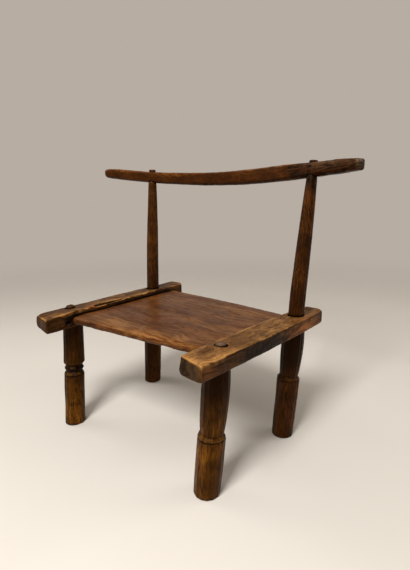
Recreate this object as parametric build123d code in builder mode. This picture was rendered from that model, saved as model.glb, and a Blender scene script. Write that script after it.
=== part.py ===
from build123d import *
from math import radians, tan
import os

# An African birthing chair: a low, wide seat plank held between two side rails. Two short turned
# legs carry the rails in front. Two posts carry them behind and go on up to a bowed crest rail.
# Every leg and every post is one length of wood, which passes through a bored hole in its rail.
# Lengths are in millimetres, angles in degrees. The chair stands on Z = 0 and faces -Y, and left
# and right are those of someone who looks at it from the front.

# ---- Fits ----
joint_gap = 0.15  # play round every tenon, tongue and shoulder
floor_spare = 20.0  # length left on a leg below the floor, until its foot is cut level
foot_round = 4.0  # worn bottom edge of each foot

# ---- Rails: the plane of their tops, which falls a little to the back ----
rail_height = 327.9
seat_fall_angle = 0.8  # degrees
rail_thick = 36.0
rail_edge_round = 3.0

# ---- Centres of the leg holes, on top of the rails ----
leg_spread = 512.0  # across the chair, from the left legs to the right ones
leg_reach = 305.0  # from the front legs to the rear ones
front_left_x = 12.9 - leg_spread / 2
front_left_y = -15.8 - leg_reach / 2
front_right_x = leg_spread / 2 - 2.5
front_right_y = 1.7 - leg_reach / 2
rear_left_x = 0.4 - leg_spread / 2
rear_left_y = leg_reach / 2 - 7.7
rear_right_x = leg_spread / 2 + 15.3
rear_right_y = leg_reach / 2 - 6.2

# ---- Lean of each leg, in degrees: its top goes back and out from its foot ----
front_left_back_angle = 4.7
front_left_out_angle = 1.3
front_right_back_angle = 5.7
front_right_out_angle = 2.1
rear_left_back_angle = 3.2
rear_left_out_angle = 0.1
rear_right_back_angle = 5.7
rear_right_out_angle = 2.1

# ---- Left rail: its ends beyond the holes, and its widths each side of the line of holes ----
left_rail_front_overhang = 101.0
left_rail_rear_overhang = 127.0
left_rail_front_skew_angle = 7.0  # degrees, positive where the inner corner reaches further out
left_rail_rear_skew_angle = 1.0
left_rail_front_inner = 37.5
left_rail_rear_inner = 32.5
left_rail_front_outer = 22.5
left_rail_rear_outer = 28.0
left_rail_belly = 1.0  # how far each side swells beyond a straight line
left_rail_inner_cut = 15.0  # off the rear corners, seen from above
left_rail_outer_cut = 4.0
left_rail_inner_deep = 45.0  # it is rolled a little, so its inner side reaches further down
left_rail_outer_deep = 35.0
left_rail_inner_bevel = 2.5  # along the lower edges
left_rail_outer_bevel = 6.0
left_rail_drop = 7.0  # hewn slope that takes down the front inner corner of the top
left_rail_drop_long = 80.0

# ---- Right rail, measured in the same way ----
right_rail_front_overhang = 100.8
right_rail_rear_overhang = 101.0
right_rail_front_skew_angle = -2.2
right_rail_rear_skew_angle = 1.0
right_rail_front_inner = 21.0
right_rail_rear_inner = 30.0
right_rail_front_outer = 47.0
right_rail_rear_outer = 29.5
right_rail_belly = 5.5
right_rail_inner_cut = 10.0
right_rail_outer_cut = 15.0
right_rail_inner_bevel = 8.0
right_rail_outer_bevel = 3.5
right_rail_set_back = 11.4  # hewn slope that sets back the front end's inner corner at the top

# ---- Seat plank, let into the rails by a tongue along each side ----
seat_drop = 14.0  # from the rails' tops down to the seat's top
seat_thick = 20.0
seat_front_left_y = front_left_y - 34.7  # corners, in line with the legs
seat_front_right_y = front_right_y - 5.7
seat_rear_left_y = rear_left_y + 64.2
seat_rear_right_y = rear_right_y + 22.7
seat_rear_bow = 8.0  # how far the rear edge swells behind a straight line
seat_front_round = 12.0  # worn top edge in front
seat_front_bevel = 4.0  # along the lower edge in front
seat_edge_round = 3.0
tongue_thick = 9.0
tongue_long = 8.0
tongue_setback = 30.0  # from the seat's front and rear edges to the tongues' ends

# ---- Front legs: tenons that show on top of the rails, cut a little off the legs' middles ----
front_left_tenon_dia = 24.5
front_left_tenon_outward = 5.0
front_left_tenon_forward = 4.5
front_left_proud = 7.5
front_right_tenon_dia = 26.0
front_right_tenon_outward = 0.5
front_right_tenon_forward = -3.5
front_right_proud = 2.5
front_tenon_round = 1.2

# ---- Front left leg: a drum, a sharp ring between two grooves, and a barrel ----
front_left_foot_dia = 54.5
front_left_drum_dia = 54.0
front_left_drum_height = 145.0
front_left_groove_dia = 42.5
front_left_groove_half = 8.0
front_left_ring_dia = 52.0
front_left_barrel_dia = 56.5
front_left_head_dia = 52.5

# ---- The other legs: a drum, a step in to a neck, a swelling belly and a head ----
neck_rise = 7.0  # from the drum's edge up to the narrowest place of the neck

front_right_foot_dia = 57.0
front_right_drum_dia = 60.5
front_right_drum_height = 134.0
front_right_neck_dia = 50.5
front_right_belly_dia = 59.0
front_right_belly_rise = 67.0
front_right_head_dia = 52.0

rear_left_foot_dia = 54.0
rear_left_drum_dia = 57.0
rear_left_drum_height = 150.0
rear_left_neck_dia = 47.5
rear_left_belly_dia = 57.5
rear_left_belly_rise = 64.0
rear_left_head_dia = 53.5

rear_right_foot_dia = 54.0
rear_right_drum_dia = 58.0
rear_right_drum_height = 160.0
rear_right_neck_dia = 46.5
rear_right_belly_dia = 56.5
rear_right_belly_rise = 62.0
rear_right_head_dia = 50.5

# ---- Rear posts above the rails: they taper up to the crest rail ----
post_dia = 39.0
post_collar = 6.0  # height above the rail at which the taper starts
post_middle_dia = 37.0
post_neck_dia = 30.0
post_neck_drop = 60.0  # from the post's shoulder down to its neck
post_top_dia = 25.5
crest_tenon_dia = 21.0
crest_tenon_round = 1.5
crest_left_proud = 6.0
crest_right_proud = 4.0

# ---- Crest rail: it bows back between the posts, and its ends sweep forward and up ----
crest_height = 673.5  # centre of the rail's section, midway between the posts
crest_thick = 28.0
crest_bow = 47.0
crest_straightening = 0.088  # how much the outer thirds flatten out of a plain bow
crest_left_overhang = 160.0
crest_right_overhang = 129.0
crest_tip_long = 35.0  # from each end to the section where the tip begins
crest_corner_round = 4.5
crest_bevel = 8.0  # worn bevel along the lower front edge
crest_left_end_round = 4.0
crest_right_end_round = 3.0
spotface_deep = 2.0  # flat cut in the crest's underside for a post's shoulder

# Rise of the crest's centre line above crest_height, and depth of its section, at each station
crest_left_end_rise = 28.0
crest_left_end_depth = 25.0
crest_left_tip_rise = 25.5
crest_left_tip_depth = 31.0
crest_left_post_rise = 11.5
crest_left_post_depth = 35.0
crest_left_waist_rise = 2.5
crest_left_waist_depth = 37.5
crest_middle_depth = 40.0
crest_right_waist_rise = 4.0
crest_right_waist_depth = 42.0
crest_right_post_rise = 9.2
crest_right_post_depth = 36.6
crest_right_tip_rise = 12.5
crest_right_tip_depth = 31.0
crest_right_end_rise = 13.0
crest_right_end_depth = 25.0

# ---- Lug on the back of the crest rail, at its middle ----
lug_wide = 93.0
lug_top_wide = 70.0
lug_proud = 13.0
lug_inset = 3.0  # from the crest's top and bottom to the lug's

# ---- Planes of the seat ----
rail_plane = Plane(origin=(0, 0, rail_height), x_dir=(1, 0, 0), z_dir=(0, tan(radians(seat_fall_angle)), 1))
rail_under = rail_plane.offset(-rail_thick)
seat_plane = rail_plane.offset(-seat_drop)
tongue_plane = seat_plane.offset(-(seat_thick + tongue_thick) / 2)


# ---- Lines of the legs ----
def leg_axis(hole_x, hole_y, lean_back, lean_out):
    """Line up a leg, from its foot on the floor through its hole in the rail."""
    hole = rail_plane.from_local_coords((hole_x, hole_y, 0))
    outward = tan(radians(lean_out)) if hole_x > 0 else -tan(radians(lean_out))
    up = Vector(outward, tan(radians(lean_back)), 1).normalized()
    return Axis(hole - up * (hole.Z / up.Z), up)


def reach(axis, plane):
    """Distance up an axis, from its foot to a plane."""
    return (plane.origin - axis.position).dot(plane.z_dir) / axis.direction.dot(plane.z_dir)


def at_height(axis, height):
    """Point of an axis at a height above the floor."""
    return axis.position + axis.direction * (height / axis.direction.Z)


def radius_plane(axis):
    """Plane through a leg's axis: its X is the radius, and its Y runs up the leg."""
    across = Vector(0, 1, 0).cross(axis.direction).normalized()
    return Plane(origin=axis.position, x_dir=across, z_dir=across.cross(axis.direction))


def cross_plane(axis, distance):
    """Plane square to an axis, at a distance up from its foot."""
    return Plane(origin=axis.position + axis.direction * distance, z_dir=axis.direction)


def pin(axis, diameter, low, high, mode=Mode.ADD):
    """Adds or cuts a cylinder along an axis, between two distances up it."""
    with BuildSketch(cross_plane(axis, low)) as circle:
        Circle(diameter / 2)
    extrude(circle.sketch, amount=high - low, mode=mode)


def edges_in(part, plane):
    """Edges of a part that lie in a plane."""
    return part.edges().filter_by(lambda edge: abs(plane.to_local_coords(edge.center()).Z) < joint_gap / 2)


def edges_above(part, plane):
    """Edges of a part that lie above a plane."""
    return part.edges().filter_by(lambda edge: plane.to_local_coords(edge.center()).Z > joint_gap / 2)


front_left_axis = leg_axis(front_left_x, front_left_y, front_left_back_angle, front_left_out_angle)
front_right_axis = leg_axis(front_right_x, front_right_y, front_right_back_angle, front_right_out_angle)
rear_left_axis = leg_axis(rear_left_x, rear_left_y, rear_left_back_angle, rear_left_out_angle)
rear_right_axis = leg_axis(rear_right_x, rear_right_y, rear_right_back_angle, rear_right_out_angle)
front_left_tenon_axis = leg_axis(
    front_left_x - front_left_tenon_outward,
    front_left_y - front_left_tenon_forward,
    front_left_back_angle,
    front_left_out_angle,
)
front_right_tenon_axis = leg_axis(
    front_right_x + front_right_tenon_outward,
    front_right_y - front_right_tenon_forward,
    front_right_back_angle,
    front_right_out_angle,
)


# ---- Plans of the rails and the seat, on the plane of the rails' tops ----
def rail_corners(front, rear, inward, overhangs, skews, inners, outers, belly):
    """Start, middle and end of a rail's inner side, then of its outer side."""
    front_hole = Vector(*front)
    rear_hole = Vector(*rear)
    along = (rear_hole - front_hole).normalized()
    across = Vector(-along.Y, along.X) * inward
    centre = (front_hole + rear_hole) / 2
    sides = []
    for widths in (inners, (-outers[0], -outers[1])):
        swell = belly if widths[0] > 0 else -belly
        start = front_hole + across * widths[0] - along * (overhangs[0] + widths[0] * tan(radians(skews[0])))
        end = rear_hole + across * widths[1] + along * (overhangs[1] + widths[1] * tan(radians(skews[1])))
        sides.append((start, centre + across * ((widths[0] + widths[1]) / 2 + swell), end))
    return sides


def rail_plan(sides, inner_cut, outer_cut):
    """Face of a rail seen from above, with its two rear corners cut off."""
    inner, outer = sides
    with BuildSketch() as plan:
        with BuildLine():
            ThreePointArc(*inner)
            Line(inner[2], outer[2])
            ThreePointArc(*reversed(outer))
            Line(outer[0], inner[0])
        make_face()
        chamfer(plan.vertices().sort_by_distance(inner[2])[0], inner_cut)
        chamfer(plan.vertices().sort_by_distance(outer[2])[0], outer_cut)
    return plan.sketch


left_sides = rail_corners(
    (front_left_x, front_left_y),
    (rear_left_x, rear_left_y),
    -1,
    (left_rail_front_overhang, left_rail_rear_overhang),
    (left_rail_front_skew_angle, left_rail_rear_skew_angle),
    (left_rail_front_inner, left_rail_rear_inner),
    (left_rail_front_outer, left_rail_rear_outer),
    left_rail_belly,
)
right_sides = rail_corners(
    (front_right_x, front_right_y),
    (rear_right_x, rear_right_y),
    1,
    (right_rail_front_overhang, right_rail_rear_overhang),
    (right_rail_front_skew_angle, right_rail_rear_skew_angle),
    (right_rail_front_inner, right_rail_rear_inner),
    (right_rail_front_outer, right_rail_rear_outer),
    right_rail_belly,
)
left_plan = rail_plan(left_sides, left_rail_inner_cut, left_rail_outer_cut)
right_plan = rail_plan(right_sides, right_rail_inner_cut, right_rail_outer_cut)


def plank_plan(setback, into_rails):
    """Face between the rails, drawn back from the seat's edges and let into the rails."""
    front_left = (front_left_x, seat_front_left_y + setback)
    front_right = (front_right_x, seat_front_right_y + setback)
    rear_right = (rear_right_x, seat_rear_right_y - setback)
    rear_left = (rear_left_x, seat_rear_left_y - setback)
    rear_bow = seat_rear_bow - setback + (seat_rear_left_y + seat_rear_right_y) / 2
    with BuildSketch() as plan:
        with BuildLine():
            Line(front_left, front_right)
            Line(front_right, rear_right)
            ThreePointArc(rear_right, ((rear_left_x + rear_right_x) / 2, rear_bow), rear_left)
            Line(rear_left, front_left)
        make_face()
        for rail in (left_plan, right_plan):
            add(offset(rail, amount=-into_rails, mode=Mode.PRIVATE), mode=Mode.SUBTRACT)
    return plan.sketch


seat_face = plank_plan(0, -joint_gap)
tongue_face = plank_plan(tongue_setback, tongue_long)
groove_face = plank_plan(tongue_setback - joint_gap, tongue_long + joint_gap)


# ---- Rails ----
def plane_through(first, second, third):
    """Plane through three points, with its normal upwards."""
    normal = (second - first).cross(third - first)
    return Plane(first, x_dir=second - first, z_dir=normal if normal.Z > 0 else -normal)


def below_top(point, depth):
    """Place at a depth below a point of a rail's plan."""
    return rail_plane.from_local_coords((point.X, point.Y, -depth))


left_under = plane_through(
    below_top(left_sides[1][0], left_rail_outer_deep),
    below_top(left_sides[1][2], left_rail_outer_deep),
    below_top(left_sides[0][0], left_rail_inner_deep),
)


def rail_body(part, plan, under, inner_bevel, outer_bevel):
    """Hewn bar: its two long lower edges are bevelled, and the edges above them are worn round."""
    with BuildSketch(rail_plane) as top:
        add(plan)
    extrude(top.sketch, amount=-2 * rail_thick)
    split(bisect_by=under, keep=Keep.TOP)
    for bevel, place in ((inner_bevel, 0), (outer_bevel, -1)):
        long_edges = edges_in(part, under).sort_by(SortBy.LENGTH)[-2:]
        chamfer(long_edges.sort_by(lambda edge: abs(edge.center().X))[place], bevel)
    fillet(edges_above(part, under.offset(max(inner_bevel, outer_bevel))), rail_edge_round)


def rail_joints(tenon_axis, tenon_dia, rear_axis):
    """Cuts the holes of a leg and a post, and the groove of the seat's tongue."""
    for axis, diameter in ((tenon_axis, tenon_dia), (rear_axis, post_dia)):
        low = reach(axis, rail_under) - rail_thick
        high = reach(axis, rail_plane) + rail_thick
        pin(axis, diameter + 2 * joint_gap, low, high, Mode.SUBTRACT)
    with BuildSketch(tongue_plane.offset(-joint_gap)) as groove:
        add(groove_face)
    extrude(groove.sketch, amount=tongue_thick + 2 * joint_gap, mode=Mode.SUBTRACT)


def hew_end(sides, drop, long):
    """Hews a slope off the inner corner of a front end: down its end face, and along its top."""
    outer_corner = below_top(sides[1][0], 0)
    inner_corner = below_top(sides[0][0], 0)
    along = (below_top(sides[0][1], 0) - inner_corner).normalized()
    slope = plane_through(outer_corner, below_top(sides[0][0], drop), inner_corner + along * long)
    split(bisect_by=slope, keep=Keep.BOTTOM)


with BuildPart() as left_rail:
    rail_body(left_rail, left_plan, left_under, left_rail_inner_bevel, left_rail_outer_bevel)
    hew_end(left_sides, left_rail_drop, left_rail_drop_long)
    rail_joints(front_left_tenon_axis, front_left_tenon_dia, rear_left_axis)
left_rail.part.label = "left_rail"

with BuildPart() as right_rail:
    rail_body(right_rail, right_plan, rail_under, right_rail_inner_bevel, right_rail_outer_bevel)
    hew_end(right_sides, rail_thick, right_rail_set_back)
    rail_joints(front_right_tenon_axis, front_right_tenon_dia, rear_right_axis)
right_rail.part.label = "right_rail"

# ---- Seat plank ----
with BuildPart() as seat_plank:
    with BuildSketch(seat_plane):
        add(seat_face)
    extrude(amount=-seat_thick)
    top_edges = edges_in(seat_plank, seat_plane).sort_by(Axis.Y)
    under_edges = edges_in(seat_plank, seat_plane.offset(-seat_thick)).sort_by(Axis.Y)
    chamfer(under_edges[0], seat_front_bevel)
    fillet(top_edges[0], seat_front_round)
    fillet([top_edges[-1], under_edges[-1]], seat_edge_round)
    with BuildSketch(tongue_plane):
        add(tongue_face)
    extrude(amount=tongue_thick)
seat_plank.part.label = "seat_plank"


# ---- Legs and posts ----
def necked_outline(axis, foot_dia, drum_dia, drum_height, neck_dia, belly_dia, belly_rise, head_dia):
    """Half outline of a leg with a drum, a neck, a belly and a head."""
    head_height = reach(axis, rail_under)
    top_height = reach(axis, rail_plane)
    neck_height = drum_height + neck_rise
    with BuildSketch(radius_plane(axis)) as outline:
        with BuildLine():
            Polyline(
                (0, top_height),
                (0, -floor_spare),
                (foot_dia / 2, -floor_spare),
                (foot_dia / 2, 0),
                (drum_dia / 2, drum_height),
                (neck_dia / 2, neck_height),
            )
            Spline(
                (neck_dia / 2, neck_height),
                (belly_dia / 2, neck_height + belly_rise),
                (head_dia / 2, head_height),
            )
            Polyline((head_dia / 2, head_height), (head_dia / 2, top_height), (0, top_height))
        make_face()
    return outline.sketch


def ringed_outline(
    axis, foot_dia, drum_dia, drum_height, groove_dia, groove_half, ring_dia, barrel_dia, head_dia
):
    """Half outline of a leg with a drum, a sharp ring between two grooves, and a barrel."""
    head_height = reach(axis, rail_under)
    top_height = reach(axis, rail_plane)
    with BuildSketch(radius_plane(axis)) as outline:
        with BuildLine():
            Polyline(
                (0, -floor_spare),
                (foot_dia / 2, -floor_spare),
                (foot_dia / 2, 0),
                (drum_dia / 2, drum_height),
                (groove_dia / 2, drum_height + groove_half),
                (ring_dia / 2, drum_height + 2 * groove_half),
                (groove_dia / 2, drum_height + 3 * groove_half),
                (barrel_dia / 2, drum_height + 4 * groove_half),
                (head_dia / 2, head_height),
                (head_dia / 2, top_height),
                (0, top_height),
                close=True,
            )
        make_face()
    return outline.sketch


def turned_leg(part, axis, outline, under):
    """Turns the outline round its axis, cuts the foot level and the head to the rail's underside."""
    revolve(outline, axis=axis)
    split(bisect_by=Plane.XY, keep=Keep.TOP)
    split(bisect_by=under.offset(-joint_gap), keep=Keep.BOTTOM)
    fillet(edges_in(part, Plane.XY), foot_round)


def rail_tenon(part, axis, diameter, proud):
    """Adds the tenon that goes up through the rail and stands a little proud of it."""
    low = reach(axis, rail_under) - rail_thick
    pin(axis, diameter, low, reach(axis, rail_plane) + rail_thick)
    top_plane = rail_plane.offset(proud)
    split(bisect_by=top_plane, keep=Keep.BOTTOM)
    fillet(edges_in(part, top_plane), front_tenon_round)


with BuildPart() as front_left_leg:
    outline = ringed_outline(
        front_left_axis,
        front_left_foot_dia,
        front_left_drum_dia,
        front_left_drum_height,
        front_left_groove_dia,
        front_left_groove_half,
        front_left_ring_dia,
        front_left_barrel_dia,
        front_left_head_dia,
    )
    turned_leg(front_left_leg, front_left_axis, outline, left_under)
    rail_tenon(front_left_leg, front_left_tenon_axis, front_left_tenon_dia, front_left_proud)
front_left_leg.part.label = "front_left_leg"

with BuildPart() as front_right_leg:
    outline = necked_outline(
        front_right_axis,
        front_right_foot_dia,
        front_right_drum_dia,
        front_right_drum_height,
        front_right_neck_dia,
        front_right_belly_dia,
        front_right_belly_rise,
        front_right_head_dia,
    )
    turned_leg(front_right_leg, front_right_axis, outline, rail_under)
    rail_tenon(front_right_leg, front_right_tenon_axis, front_right_tenon_dia, front_right_proud)
front_right_leg.part.label = "front_right_leg"


def post_upper(part, axis, crest_under, crest_top, proud):
    """Adds the post's length above its head: through the rail, up to the crest and through it."""
    low = reach(axis, rail_under) - rail_thick
    collar = reach(axis, rail_plane) + post_collar
    shoulder = (crest_under + spotface_deep) / axis.direction.Z
    neck = shoulder - post_neck_drop
    tip = (crest_top + proud) / axis.direction.Z
    with BuildSketch(radius_plane(axis)) as outline:
        with BuildLine():
            Polyline(
                (post_top_dia / 2, shoulder),
                (0, shoulder),
                (0, low),
                (post_dia / 2, low),
                (post_dia / 2, collar),
            )
            Spline(
                (post_dia / 2, collar),
                (post_middle_dia / 2, (collar + neck) / 2),
                (post_neck_dia / 2, neck),
                (post_top_dia / 2, shoulder),
            )
        make_face()
    revolve(outline.sketch, axis=axis)
    pin(axis, crest_tenon_dia, neck, tip)
    fillet(edges_in(part, cross_plane(axis, tip)), crest_tenon_round)


crest_left_under = crest_height + crest_left_post_rise - crest_left_post_depth / 2
crest_left_top = crest_left_under + crest_left_post_depth
crest_right_under = crest_height + crest_right_post_rise - crest_right_post_depth / 2
crest_right_top = crest_right_under + crest_right_post_depth

with BuildPart() as rear_left_post:
    outline = necked_outline(
        rear_left_axis,
        rear_left_foot_dia,
        rear_left_drum_dia,
        rear_left_drum_height,
        rear_left_neck_dia,
        rear_left_belly_dia,
        rear_left_belly_rise,
        rear_left_head_dia,
    )
    turned_leg(rear_left_post, rear_left_axis, outline, left_under)
    post_upper(rear_left_post, rear_left_axis, crest_left_under, crest_left_top, crest_left_proud)
rear_left_post.part.label = "rear_left_post"

with BuildPart() as rear_right_post:
    outline = necked_outline(
        rear_right_axis,
        rear_right_foot_dia,
        rear_right_drum_dia,
        rear_right_drum_height,
        rear_right_neck_dia,
        rear_right_belly_dia,
        rear_right_belly_rise,
        rear_right_head_dia,
    )
    turned_leg(rear_right_post, rear_right_axis, outline, rail_under)
    post_upper(rear_right_post, rear_right_axis, crest_right_under, crest_right_top, crest_right_proud)
rear_right_post.part.label = "rear_right_post"

# ---- Crest rail ----
# In the crest's own plane X runs from the left post to the right one, and Y points to the back.
left_post_top = at_height(rear_left_axis, crest_height + crest_left_post_rise)
right_post_top = at_height(rear_right_axis, crest_height + crest_right_post_rise)
post_gap = Vector(right_post_top.X - left_post_top.X, right_post_top.Y - left_post_top.Y)
half_span = post_gap.length / 2
crest_middle = (left_post_top + right_post_top) / 2
crest_plane = Plane((crest_middle.X, crest_middle.Y, crest_height), x_dir=post_gap, z_dir=(0, 0, 1))


def bow(along):
    """How far the crest's centre line lies behind the line between the posts."""
    share = (along / half_span) ** 2
    return crest_bow * (1 - (1 + crest_straightening) * share + crest_straightening * share**2)


def bow_slope(along):
    """Slope of the crest's centre line, seen from above."""
    share = along / half_span
    cubic = 2 * crest_straightening * share**3
    return 2 * crest_bow / half_span * (cubic - (1 + crest_straightening) * share)


def crest_section(along, rise, depth):
    """Section of the crest, square to its centre line, with its worn lower front edge."""
    tangent = crest_plane.x_dir + crest_plane.y_dir * bow_slope(along)
    centre = crest_plane.from_local_coords((along, bow(along), rise))
    half_thick = crest_thick / 2
    with BuildSketch(Plane(centre, x_dir=Vector(0, 0, 1).cross(tangent), z_dir=tangent)) as section:
        with BuildLine():
            Polyline(
                (-half_thick, depth / 2),
                (half_thick, depth / 2),
                (half_thick, -depth / 2),
                (crest_bevel - half_thick, -depth / 2),
                (-half_thick, crest_bevel - depth / 2),
                close=True,
            )
        make_face()
        fillet(section.vertices(), crest_corner_round)
    return section.sketch


crest_left_end = -half_span - crest_left_overhang
crest_right_end = half_span + crest_right_overhang

with BuildPart() as crest_rail:
    sections = (
        crest_section(crest_left_end, crest_left_end_rise, crest_left_end_depth),
        crest_section(crest_left_end + crest_tip_long, crest_left_tip_rise, crest_left_tip_depth),
        crest_section(-half_span, crest_left_post_rise, crest_left_post_depth),
        crest_section(-half_span / 2, crest_left_waist_rise, crest_left_waist_depth),
        crest_section(0, 0, crest_middle_depth),
        crest_section(half_span / 2, crest_right_waist_rise, crest_right_waist_depth),
        crest_section(half_span, crest_right_post_rise, crest_right_post_depth),
        crest_section(crest_right_end - crest_tip_long, crest_right_tip_rise, crest_right_tip_depth),
        crest_section(crest_right_end, crest_right_end_rise, crest_right_end_depth),
    )
    loft(sections)
    fillet(crest_rail.faces().sort_by(Axis.X)[0].edges(), crest_left_end_round)
    fillet(crest_rail.faces().sort_by(Axis.X)[-1].edges(), crest_right_end_round)
    lug_high = crest_middle_depth - 2 * lug_inset
    back = crest_bow + crest_thick / 2
    with BuildSketch(crest_plane.offset(-lug_high / 2)):
        with BuildLine():
            Polyline(
                (-lug_wide / 2, crest_bow),
                (lug_wide / 2, crest_bow),
                (lug_wide / 2, back),
                (lug_top_wide / 2, back + lug_proud),
                (-lug_top_wide / 2, back + lug_proud),
                (-lug_wide / 2, back),
                close=True,
            )
        make_face()
    extrude(amount=lug_high)
    for axis, under in ((rear_left_axis, crest_left_under), (rear_right_axis, crest_right_under)):
        shoulder = (under + spotface_deep) / axis.direction.Z
        low = shoulder - crest_thick
        pin(axis, crest_tenon_dia + 2 * joint_gap, low, shoulder + 3 * crest_thick, Mode.SUBTRACT)
        pin(axis, post_top_dia + 2 * joint_gap, low, shoulder + joint_gap, Mode.SUBTRACT)
crest_rail.part.label = "crest_rail"

# ---- Files ----
os.makedirs("parts", exist_ok=True)
pieces = (
    left_rail,
    right_rail,
    seat_plank,
    front_left_leg,
    front_right_leg,
    rear_left_post,
    rear_right_post,
    crest_rail,
)
for piece in pieces:
    export_step(piece.part, f"parts/{piece.part.label}.step")
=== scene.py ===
# %% [markdown]
# # An African birthing chair
# A low, wide chair of dark hardwood. Its rails and seat were hewn with an adze, and its legs were
# cut round with a knife. Long use has polished the arrises and darkened the rest.
#
# The CAD model gives the frame: every piece here starts from its CAD solid and stays in its place.

# %% The frame
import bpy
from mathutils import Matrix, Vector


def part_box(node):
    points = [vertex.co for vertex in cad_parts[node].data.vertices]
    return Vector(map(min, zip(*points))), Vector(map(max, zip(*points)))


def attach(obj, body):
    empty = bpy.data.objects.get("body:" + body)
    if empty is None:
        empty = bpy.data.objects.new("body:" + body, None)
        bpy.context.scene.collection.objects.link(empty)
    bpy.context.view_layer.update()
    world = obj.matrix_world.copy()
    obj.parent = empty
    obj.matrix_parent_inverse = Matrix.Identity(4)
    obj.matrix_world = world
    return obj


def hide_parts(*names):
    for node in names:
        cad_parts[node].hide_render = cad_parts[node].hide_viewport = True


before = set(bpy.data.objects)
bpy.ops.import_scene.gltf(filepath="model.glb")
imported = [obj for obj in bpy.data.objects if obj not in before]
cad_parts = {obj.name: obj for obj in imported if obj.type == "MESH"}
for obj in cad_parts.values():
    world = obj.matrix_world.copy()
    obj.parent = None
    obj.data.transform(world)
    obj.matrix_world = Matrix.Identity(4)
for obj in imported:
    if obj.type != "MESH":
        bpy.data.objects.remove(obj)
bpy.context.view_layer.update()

import math
import bmesh
import bpy
import numpy as np
from mathutils import Matrix, Vector
from mathutils.bvhtree import BVHTree

MM = 0.001
print("CAD nodes:", sorted(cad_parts))

# %% [markdown]
# ## Even meshes
# A CAD solid has long thin triangles, which can't carry tool marks. A voxel remesh covers the same
# solid with small, even squares. Cutting shapes are taken out of the solid first, with Booleans.

# %% Remesh a CAD node
def even_copy(node, spacing, blades=()):
    """A new object with a node's shape less the blades' shapes, in squares of a spacing in mm."""
    piece = bpy.data.objects.new(node + "_wood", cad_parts[node].data.copy())
    bpy.context.collection.objects.link(piece)
    weld = bmesh.new()
    weld.from_mesh(piece.data)
    bmesh.ops.remove_doubles(weld, verts=weld.verts, dist=0.001 * MM)
    weld.to_mesh(piece.data)
    weld.free()
    for cutter in blades:
        cut = piece.modifiers.new("cut", "BOOLEAN")
        cut.operation = "DIFFERENCE"
        cut.object = cutter
    even = piece.modifiers.new("even", "REMESH")
    even.mode = "VOXEL"
    even.voxel_size = spacing * MM
    finished = piece.evaluated_get(bpy.context.evaluated_depsgraph_get())
    dense = bpy.data.meshes.new_from_object(finished)
    piece.modifiers.clear()
    piece.data = dense
    dense.materials.clear()
    dense.shade_smooth()
    for cutter in blades:
        bpy.data.objects.remove(cutter)
    print(piece.name, len(dense.vertices), "points")
    return piece


# %% [markdown]
# A crack or a notch is such a cut. Its cutting shape is the convex solid round a few corners.

# %% A cutting shape
def blade(corners):
    """The convex solid round some corners, in mm, for cutting a piece."""
    hull = bmesh.new()
    for corner in corners:
        hull.verts.new(Vector(corner) * MM)
    bmesh.ops.convex_hull(hull, input=hull.verts)
    mesh = bpy.data.meshes.new("blade")
    hull.to_mesh(mesh)
    hull.free()
    cutter = bpy.data.objects.new("blade", mesh)
    bpy.context.collection.objects.link(cutter)
    return cutter


# %% [markdown]
# Numpy reads a mesh's corners, normals and edges as tables, and moves all corners at once. These
# tables are in mm, like every size below.

# %% Read and move the points
def points_of(piece):
    """The corners of a mesh in mm, one row each."""
    flat = np.empty(len(piece.data.vertices) * 3, np.float32)
    piece.data.vertices.foreach_get("co", flat)
    return flat.reshape(-1, 3).astype(float) / MM


def normals_of(piece):
    """The normals at the corners of a mesh, one row each."""
    flat = np.empty(len(piece.data.vertices) * 3, np.float32)
    piece.data.vertex_normals.foreach_get("vector", flat)
    return flat.reshape(-1, 3).astype(float)


def edges_of(piece):
    """The two corners of each edge of a mesh, one row each."""
    flat = np.empty(len(piece.data.edges) * 2, np.int32)
    piece.data.edges.foreach_get("vertices", flat)
    return flat.reshape(-1, 2)


def move_points(piece, places):
    """Puts the corners of a mesh at new places, in mm."""
    piece.data.vertices.foreach_set("co", (places * MM).astype(np.float32).ravel())
    piece.data.update()


# %% [markdown]
# ## Marks of the tools
# Three patterns make wood look worked by hand. A sum of sine waves in random directions gives the
# soft unevenness of a hewn face. Shallow scoops with ridges between them are the bites of an adze.
# Flat strips round a leg are the strokes of a knife. Each random pattern has its own seed, so every
# run gives the same chair.

# %% Patterns
WAVES = 14  # so many that no single wave can be made out
WAVE_REACH = 5.3  # twice the spread of that many waves added up


def smooth_steps(values, low, high):
    """0 below low, 1 above high, and a soft change between them."""
    share = np.clip((values - low) / (high - low), 0, 1)
    return share * share * (3 - 2 * share)


def unevenness(places, size, seed):
    """Soft random values from about -1 to 1 that change over about size mm along each axis."""
    random = np.random.default_rng(seed)
    total = np.zeros(len(places))
    for _ in range(WAVES):
        direction = random.normal(size=3)
        direction /= np.linalg.norm(direction)
        turns = random.uniform(0.6, 1.5) * direction / np.array(size)
        total += np.sin(places @ turns * math.pi + random.uniform(0, 2 * math.pi))
    return total / WAVE_REACH


def scoops(places, size, seed):
    """Shallow bites of about size mm along each axis: 0 in their middles, 1 on their ridges."""
    random = np.random.default_rng(seed)
    scaled = places / np.array(size)
    low, high = scaled.min(0) - 0.5, scaled.max(0) + 0.5
    steps = [np.arange(first, last) for first, last in zip(low, high)]
    cells = np.stack(np.meshgrid(*steps, indexing="ij"), -1)
    seeds = cells.reshape(-1, 3) + random.uniform(0, 0.9, (cells.size // 3, 3))
    nearest = np.full(len(places), 9.0)
    for seed_place in seeds:
        nearest = np.minimum(nearest, ((scaled - seed_place) ** 2).sum(1))
    return np.clip(nearest / 0.5, 0, 1)


def line_cut(distance, width, depth):
    """Depth of a rounded cut at a distance from its middle line."""
    return -depth * np.exp(-((distance / (width / 2)) ** 2))


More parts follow.
